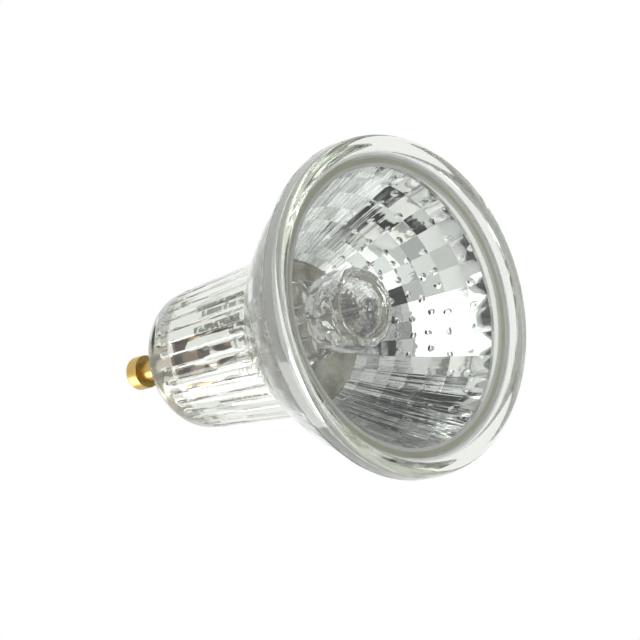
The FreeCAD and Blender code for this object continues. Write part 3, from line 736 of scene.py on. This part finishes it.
# %% Reeds and facets as a node tree
def pattern_tree(glass, mirror):
    """Moves the spun glass: reeds where 'reed' is 1, crisp facets where 'row' is above 0."""
    tree = bpy.data.node_groups.new("reeds_and_facets", "GeometryNodeTree")
    face = tree.interface
    face.new_socket("Geometry", in_out="INPUT", socket_type="NodeSocketGeometry")
    for label in ("Reed Count", "Reed Depth", "Facet Columns", "Column Hollow", "Row Hollow",
                  "Scallop Depth", "Mirror Spread"):
        face.new_socket(label, in_out="INPUT", socket_type="NodeSocketFloat")
    face.new_socket("Geometry", in_out="OUTPUT", socket_type="NodeSocketGeometry")
    given = add_node(tree, "NodeGroupInput").outputs
    known = {socket.name: socket for socket in given if socket.name}
    for name in ("reed", "row"):
        known[name] = add_node(
            tree, "GeometryNodeInputNamedAttribute", {"Name": name}, data_type="FLOAT")
    split = add_node(tree, "ShaderNodeSeparateXYZ", {0: add_node(tree, "GeometryNodeInputPosition")})
    known["x"], known["y"] = split.outputs[0], split.outputs[1]
    known["bend"] = add_node(tree, "GeometryNodeInputMeshEdgeAngle")

    add_steps(tree, known, "ShaderNodeMath", [
        ("turn", "ARCTAN2", "y", "x"),
        ("cosine", "COSINE", "turn"),
        ("sine", "SINE", "turn"),
        ("y squared", "MULTIPLY", "y", "y"),
        ("squares", "MULTIPLY_ADD", "x", "x", "y squared"),
        ("radius", "SQRT", "squares"),
        # reeds: round crests with narrow valleys between them
        ("half count", "MULTIPLY", "Reed Count", 0.5),
        ("reed turn", "MULTIPLY", "turn", "half count"),
        ("reed cosine", "COSINE", "reed turn"),
        ("arch", "ABSOLUTE", "reed cosine"),
        ("wave", "POWER", "arch", REED_FULLNESS),
        ("below crest", "SUBTRACT", "wave", 1.0),
        ("valley", "MULTIPLY", "below crest", "Reed Depth"),
        ("reed move", "MULTIPLY", "valley", "reed"),
        # where in its facet a point lies, from 0 to 1 across the column and along the row
        ("in mirror", "GREATER_THAN", "row", 0.01),
        ("per turn", "DIVIDE", "Facet Columns", 2 * pi),
        ("columns", "MULTIPLY_ADD", "turn", "per turn", 100.5),
        ("column", "FRACT", "columns"),
        ("part row", "FRACT", "row")])
    # hollow: 0 on both borders of a facet and 1 in its middle
    for name, share in (("across", "column"), ("along", "part row")):
        add_steps(tree, known, "ShaderNodeMath", [
            ("centred", "MULTIPLY_ADD", share, 2.0, -1.0),
            ("squared", "MULTIPLY", "centred", "centred"),
            (name, "SUBTRACT", 1.0, "squared")])
    add_steps(tree, known, "ShaderNodeMath", [
        ("row part", "MULTIPLY", "along", "Row Hollow"),
        ("hollow", "MULTIPLY_ADD", "across", "Column Hollow", "row part"),
        ("pillow", "MULTIPLY", "radius", "hollow"),
        # scallops: the hollow of the first row deepens towards the mirror's edge
        ("from edge row", "SUBTRACT", 1.0, "row"),
        ("edge share", "DIVIDE", "from edge row", EDGE_ROW_SHARE),
        ("to edge", "MAXIMUM", "edge share", 0.0),
        ("scallop share", "MULTIPLY", "across", "to edge"),
        ("deepened", "MULTIPLY_ADD", "scallop share", "Scallop Depth", "pillow"),
        ("depth", "MULTIPLY", "deepened", "in mirror"),
        ("twice radius", "MULTIPLY", "radius", 2.0),
        ("slope", "DIVIDE", "twice radius", "Mirror Spread"),
        # crisp edges: borders of facets, and real corners
        ("nearest", "MINIMUM", "across", "along"),
        ("at border", "LESS_THAN", "nearest", BORDER_REACH),
        ("facet border", "MULTIPLY", "at border", "in mirror"),
        ("corner", "GREATER_THAN", "bend", SHARP_CORNER),
        ("crisp", "MAXIMUM", "facet border", "corner")])
    known["outward"] = add_node(tree, "ShaderNodeCombineXYZ", {0: known["cosine"], 1: known["sine"]})
    add_steps(tree, known, "ShaderNodeVectorMath", [
        ("steep", "MULTIPLY_ADD", "outward", "slope", (0, 0, 1)),
        ("normal", "NORMALIZE", "steep"),
        ("reeded", "MULTIPLY", "outward", "reed move"),
        ("move", "MULTIPLY_ADD", "normal", "depth", "reeded")])

    moved = add_node(tree, "GeometryNodeSetPosition", {
        "Geometry": known["Geometry"], "Offset": known["move"]})
    shaded = add_node(tree, "GeometryNodeSetShadeSmooth", {
        0: moved, "Selection": known["crisp"], "Shade Smooth": False}, domain="EDGE")
    whole = add_node(tree, "GeometryNodeRealizeInstances", {"Geometry": shaded})
    glazed = add_node(tree, "GeometryNodeSetMaterial", {"Geometry": whole, "Material": glass})
    coated = add_node(tree, "GeometryNodeSetMaterial", {
        "Geometry": glazed, "Selection": known["in mirror"], "Material": mirror})
    add_node(tree, "NodeGroupOutput", {"Geometry": coated})
    return tree


pattern = pattern_tree(FINISH["pressed_glass"], FINISH["mirror_coat"])
print("tree of", len(pattern.nodes), "nodes")


# %% Build the reflector body
def apply_nodes(piece, tree, values):
    """Run a node tree on a piece with named inputs, and keep the result as its plain mesh."""
    modifier = piece.modifiers.new(tree.name, "NODES")
    modifier.node_group = tree
    for item in tree.interface.items_tree:
        if item.item_type == "SOCKET" and item.in_out == "INPUT" and item.name in values:
            modifier[item.identifier] = values[item.name]
    view = bpy.context.evaluated_depsgraph_get()
    view.update()
    mesh = bpy.data.meshes.new_from_object(piece.evaluated_get(view))
    piece.modifiers.clear()
    piece.data = mesh


def reed_share(height):
    """Reeds run out softly at both ends of the neck."""
    rise = (height - NECK_START[1]) / REED_RUN_IN + 1
    fade = (REED_END_HEIGHT - height) / REED_RUN_OUT + 1
    return max(0.0, min(1.0, rise, fade))


columns = FACET_COLUMNS * FACET_SPLIT
body = lathe("reflector_glass", body_line, columns, start=pi / FACET_COLUMNS)
shares = {
    "row": [0.0] * len(outside_line) + mirror_rows + [0.0] * len(bore_line),
    "reed": [reed_share(z) for _, z in outside_line] + [0.0] * len(mirror_line + bore_line)}
for name, values in shares.items():
    layer = body.data.attributes.new(name, "FLOAT", "POINT")
    layer.data.foreach_set("value", [
        value for value, (radius, _) in zip(values, body_line)
        for _ in range(columns if radius > 1e-6 else 1)])
apply_nodes(body, pattern, {
    "Reed Count": float(REED_COUNT), "Reed Depth": REED_DEPTH * MM,
    "Facet Columns": float(FACET_COLUMNS), "Scallop Depth": SCALLOP_DEPTH * MM,
    "Column Hollow": COLUMN_SAG - (1 - cos(pi / FACET_COLUMNS)),
    "Row Hollow": FACET_SAG - ROW_ARCH, "Mirror Spread": MIRROR_SPREAD * MM})
dress(body, "pressed_glass", "reflector_body")
print("reflector body:", len(body.data.polygons), "faces")

# %% [markdown]
# ## Cover glass and seal
# The front disc is cut from sheet glass and its edge is rounded. It lies in its pocket on
# a flat ring of sealant, which also fills the gap round the disc and shows through the
# glass as a milky band. Two touching faces of clear solids would flicker, so the bead
# overlaps its neighbours by a bond thinner than a hair.

# %% Cover glass and seal
COVER_FRONT, COVER_BACK, COVER_RADIUS, COVER_ROUND = 1.1, 2.3, 22.1, 0.3
SEAL_INNER, SEAL_BULGE, SEAL_STEP, BOND = 20.5, 0.1, 0.12, 0.02
ROUND_COLUMNS = 256

flat = COVER_RADIUS - COVER_ROUND
cover_line = joined(
    [(0, COVER_FRONT)], arc_points((flat, COVER_FRONT + COVER_ROUND), COVER_ROUND, -90, 0, 6),
    arc_points((flat, COVER_BACK - COVER_ROUND), COVER_ROUND, 0, 90, 6), [(0, COVER_BACK)])
cover = lathe("cover_disc", cover_line, ROUND_COLUMNS)
seal_line = [
    (SEAL_INNER, COVER_BACK - BOND), (flat, COVER_BACK - BOND),
    (COVER_RADIUS - BOND, COVER_BACK - COVER_ROUND),
    (COVER_RADIUS - BOND, COVER_FRONT + COVER_ROUND),
    (POCKET_RADIUS - BOND, COVER_FRONT + COVER_ROUND), (POCKET_RADIUS - BOND, SEAT_HEIGHT - BOND),
    (SEAL_INNER + SEAL_BULGE, SEAT_HEIGHT - BOND),
    (SEAL_INNER - SEAL_BULGE / 2, COVER_BACK + SEAL_STEP)]
seal = lathe("seal_bead", seal_line, ROUND_COLUMNS, closed=True)
for piece, slot, node in ((cover, "cover_glass", "cover_glass"), (seal, "clear_sealant", "cover_seal")):
    sharpen(piece)
    dress(piece, slot, node)
print("cover glass:", round(2 * COVER_RADIUS, 1), "mm across")

# %% [markdown]
# ## The quartz capsule
# A quartz tube is closed to a dome at one end and pinched flat, hot, at the other. It is
# lofted: each level has a width, a thickness and a squareness, from the round bulb
# through the waist to the flat pinch. The hollow inside is a second, closed skin that
# faces inwards. The flame's waves, the rings round the sealed tip, a raised ring on the
# dome and the grooves that the jaws pressed over the foils then move the points.

# %% Levels of the capsule
CAPSULE_Y, CAPSULE_RADIUS = 1.2, 5.7
FRONT, DOME_END, PINCH_END = 7.6, 9.1, 33.0
CAVITY_INSET, CAVITY_FRONT, CAVITY_DOME_END, CAVITY_END = 1.9, 9.1, 9.9, 14.6
PINCH_HALF_X, PINCH_HALF_Y, WAIST_RADIUS = 1.5, 5.3, 4.0
SQUEEZE_START, SQUEEZE_LENGTH = 12.0, 4.4
WAIST_START, WAIST_LENGTH = 11.8, 3.0
FLARE_START, FLARE_LENGTH = 13.6, 2.6
SQUARE_START, SQUARE_LENGTH, ROUND_SECTION, SQUARE_SECTION = 13.5, 4.0, 2.0, 5.0
INSET_X, INSET_Y = 0.6, 2.0
DOME_STEPS, BARREL_STEPS = 36, 90


def eased(a, b, t):
    """Go from a to b with a soft start and end."""
    t = min(1.0, max(0.0, t))
    return a + (b - a) * t * t * (3 - 2 * t)


def capsule_levels(inset, front, dome_end, end):
    """Height, half size along X and along Y, and squareness, from the dome to the far end."""
    radius = CAPSULE_RADIUS - inset
    levels = [(front, 0, 0, ROUND_SECTION)]
    for i in range(1, DOME_STEPS + 1):
        step = i / DOME_STEPS
        half = radius * (1 - (1 - step) ** 2)
        levels.append((front + (dome_end - front) * step ** 2, half, half, ROUND_SECTION))
    for i in range(1, BARREL_STEPS + 1):
        height = dome_end + (end - dome_end) * i / BARREL_STEPS
        half_x = eased(radius, PINCH_HALF_X - inset * INSET_X,
                       (height - SQUEEZE_START) / (SQUEEZE_LENGTH - inset))
        half_y = eased(radius, WAIST_RADIUS - inset * INSET_Y, (height - WAIST_START) / WAIST_LENGTH)
        if not inset:
            half_y = eased(half_y, PINCH_HALF_Y, (height - FLARE_START) / FLARE_LENGTH)
        square = eased(ROUND_SECTION, SQUARE_SECTION, (height - SQUARE_START) / SQUARE_LENGTH)
        levels.append((height, half_x, half_y, square))
    return levels + [(end, 0, 0, ROUND_SECTION)]


def loft(name, levels, columns, inward=False):
    """Stack rounded sections round the capsule's axis."""
    rings = []
    for height, half_x, half_y, square in levels:
        ring = []
        for k in range(columns if half_x else 1):
            c, s = cos(2 * pi * k / columns), sin(2 * pi * k / columns)
            reach = (abs(c) ** square + abs(s) ** square) ** (-1 / square)
            ring.append((half_x * c * reach * MM, (CAPSULE_Y + half_y * s * reach) * MM, height * MM))
        rings.append(ring)
    return skin(name, rings, inward=inward)


print("capsule:", PINCH_END - FRONT, "mm long")

# %% Flame waves, rings and grooves
OUTER_WAVE, INNER_WAVE, LONG_WAVE, SHORT_WAVE = 0.35, 0.12, 0.55, 1.3
WAVE_START, WAVE_RUN, WAVE_LEAST = 9.0, 4.0, 0.15
RINGS_END, RING_PITCH, RING_WANDER, RING_HEIGHT, RING_FIELD = 9.2, 0.75, 0.35, 0.07, 3.3
TIP_DENT, TIP_RADIUS = 0.25, 0.7
RIDGE_RADIUS, RIDGE_HEIGHT, RIDGE_HALF = 4.6, 0.28, 0.3
GROOVE_Y, GROOVE_LOW, GROOVE_HIGH = 2.2, 19.3, 29.1
GROOVE_RADIUS, GROOVE_SIDE, GROOVE_DEPTH = 1.2, 0.5, 0.35


def flame_shape(piece, strength_mm, outside):
    """Soft waves from the flame; outside also rings round the tip, a ridge and the grooves."""
    for vertex in piece.data.vertices:
        x, y, z = (c / MM for c in vertex.co)
        y -= CAPSULE_Y
        r = sqrt(x * x + y * y)
        place = Vector((x, y, z))
        wave = noise.noise(place * LONG_WAVE) + 0.5 * noise.noise(place * SHORT_WAVE)
        pull = strength_mm * wave * min(1.0, max(WAVE_LEAST, (z - WAVE_START) / WAVE_RUN))
        move = Vector((x, y, 0)).normalized() * pull if r > 0.01 else Vector()
        if outside and z < RINGS_END:
            swirl = 2 * pi * (r + RING_WANDER * wave) / RING_PITCH + atan2(y, x)
            move.z += RING_HEIGHT * cos(swirl) / (1 + (r / RING_FIELD) ** 6)
            move.z -= TIP_DENT / (1 + (r / TIP_RADIUS) ** 4)
            move.z += RIDGE_HEIGHT / (1 + ((r - RIDGE_RADIUS) / RIDGE_HALF) ** 2)
        if outside and abs(x) > 1.0:
            beyond = max(GROOVE_LOW - z, z - GROOVE_HIGH, 0.0)
            past = sqrt((abs(y) - GROOVE_Y) ** 2 + beyond ** 2) - GROOVE_RADIUS
            move.x -= eased(GROOVE_DEPTH, 0.0, past / GROOVE_SIDE) * (1 if x > 0 else -1)
        vertex.co += move * MM


envelope = loft("capsule_outer", capsule_levels(0.0, FRONT, DOME_END, PINCH_END), columns=128)
flame_shape(envelope, OUTER_WAVE, outside=True)
inner_levels = capsule_levels(CAVITY_INSET, CAVITY_FRONT, CAVITY_DOME_END, CAVITY_END)
cavity = loft("capsule_cavity", inner_levels, columns=96, inward=True)
flame_shape(cavity, INNER_WAVE, outside=False)
both = [envelope, cavity]
with bpy.context.temp_override(active_object=envelope, object=envelope, selected_objects=both,
                               selected_editable_objects=both):
    bpy.ops.object.join()
envelope.name = "quartz_envelope"
dress(envelope, "quartz", "capsule_envelope")
print("capsule:", len(envelope.data.polygons), "faces")

# %% [markdown]
# ## Contact pins
# Turned brass: a wide head with a rounded rim, a narrower stem, and inside the neck a
# tail with a bored socket for the lead. The lathe makes it as a real lathe would, from
# one outline. Both pins are the same.

# %% Contact pins
PIN_SPACING, PIN_TOP, HEAD_UNDERSIDE, PIN_TAIL = 10.0, 53.0, 50.7, 36.0
HEAD_RADIUS, HEAD_ROUND, HEAD_LAND, HEAD_EDGE = 2.5, 0.45, 0.5, 0.15
STEM_RADIUS, SOCKET_RADIUS, SOCKET_DEPTH = 1.525, 0.45, 3.2

pin_line = joined(
    [(0, PIN_TOP)],
    arc_points((HEAD_RADIUS - HEAD_ROUND, PIN_TOP - HEAD_ROUND), HEAD_ROUND, 90, 0, 6),
    straight_points((HEAD_RADIUS, PIN_TOP - HEAD_LAND),
                    (HEAD_RADIUS, HEAD_UNDERSIDE + HEAD_EDGE), 3),
    arc_points((HEAD_RADIUS - HEAD_EDGE, HEAD_UNDERSIDE + HEAD_EDGE), HEAD_EDGE, 0, -90, 3),
    [(STEM_RADIUS, HEAD_UNDERSIDE), (STEM_RADIUS, PIN_TAIL), (SOCKET_RADIUS, PIN_TAIL),
     (SOCKET_RADIUS, PIN_TAIL + SOCKET_DEPTH), (0, PIN_TAIL + SOCKET_DEPTH)])
for name, side in (("a", 1), ("b", -1)):
    pin = lathe("brass_pin_" + name, pin_line, 64, centre_x=side * PIN_SPACING / 2)
    sharpen(pin)
    dress(pin, "pin_brass", "contact_pin_" + name)
print("pins:", PIN_SPACING, "mm apart")

# %% [markdown]
# ## The filament
# Fine wire wound to a coil. It could be an array of rings; swept along a helix it is one
# wire, as it is in the lamp. Its place and size are those of the CAD node that it stands
# for. The wire itself is a coil too fine to see, so it is drawn as thick as that coil.

# %% Filament
COIL_WIRE, COIL_TURNS = 0.36 * MM, 5


def helix(name, centre, length, radius, wire, turns, columns=24, sides=10):
    """A wire swept along a helix whose axis runs along Y; both ends are closed."""
    rings = []
    steps = turns * columns
    for i in range(steps + 1):
        turn = 2 * pi * i / columns
        spoke = Vector((cos(turn), 0, sin(turn)))
        middle = centre + Vector((0, length * (i / steps - 0.5), 0)) + spoke * radius
        angles = [2 * pi * k / sides for k in range(sides)]
        rings.append([middle + (spoke * cos(a) + Vector((0, 1, 0)) * sin(a)) * wire / 2
                      for a in angles])
    return skin(name, rings, capped=True)


low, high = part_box("filament_coil")
coil = helix("filament_wire", (low + high) / 2, high.y - low.y - COIL_WIRE,
             (high.z - low.z - COIL_WIRE) / 2, COIL_WIRE, COIL_TURNS)
dress(coil, "filament_metal", "filament_coil")
print("filament:", COIL_TURNS, "turns")

# %% [markdown]
# ## Pieces that stay as they are
# The shield, the support, the legs, the foils, the leads and the washers have their true
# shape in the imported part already. They could be built again, but they only need the
# finish of the real thing: sheet, wire, foil and stamped brass.

# %% Finishes for the CAD nodes that stay
KEPT = {
    "grey_sheet": ("throat_shield",),
    "wire_metal": ("filament_support", "filament_leg_a", "filament_leg_b",
                   "outer_lead_a", "outer_lead_b"),
    "foil_metal": ("pinch_foil_a", "pinch_foil_b"),
    "washer_metal": ("pin_washer_a", "pin_washer_b"),
}
for finish, nodes in KEPT.items():
    for node in nodes:
        for slot in frame["nodes"][node].material_slots:
            slot.material = FINISH[finish]
print("kept CAD nodes:", sum(len(nodes) for nodes in KEPT.values()))

# %% [markdown]
# ## Light through glass
# A ray that goes through rim, bowl, cover and capsule meets more than a dozen surfaces, so
# it may bend that often before it is given up. Without caustics the mirror behind the
# glass would stay dark.

# %% Render settings: colour view, caustics and bounces
scene = bpy.context.scene
scene.view_settings.view_transform = "Standard"
scene.cycles.caustics_refractive = True
scene.cycles.caustics_reflective = True
scene.cycles.max_bounces = 24
scene.cycles.transmission_bounces = 24
scene.cycles.glossy_bounces = 10
scene.cycles.transparent_max_bounces = 16
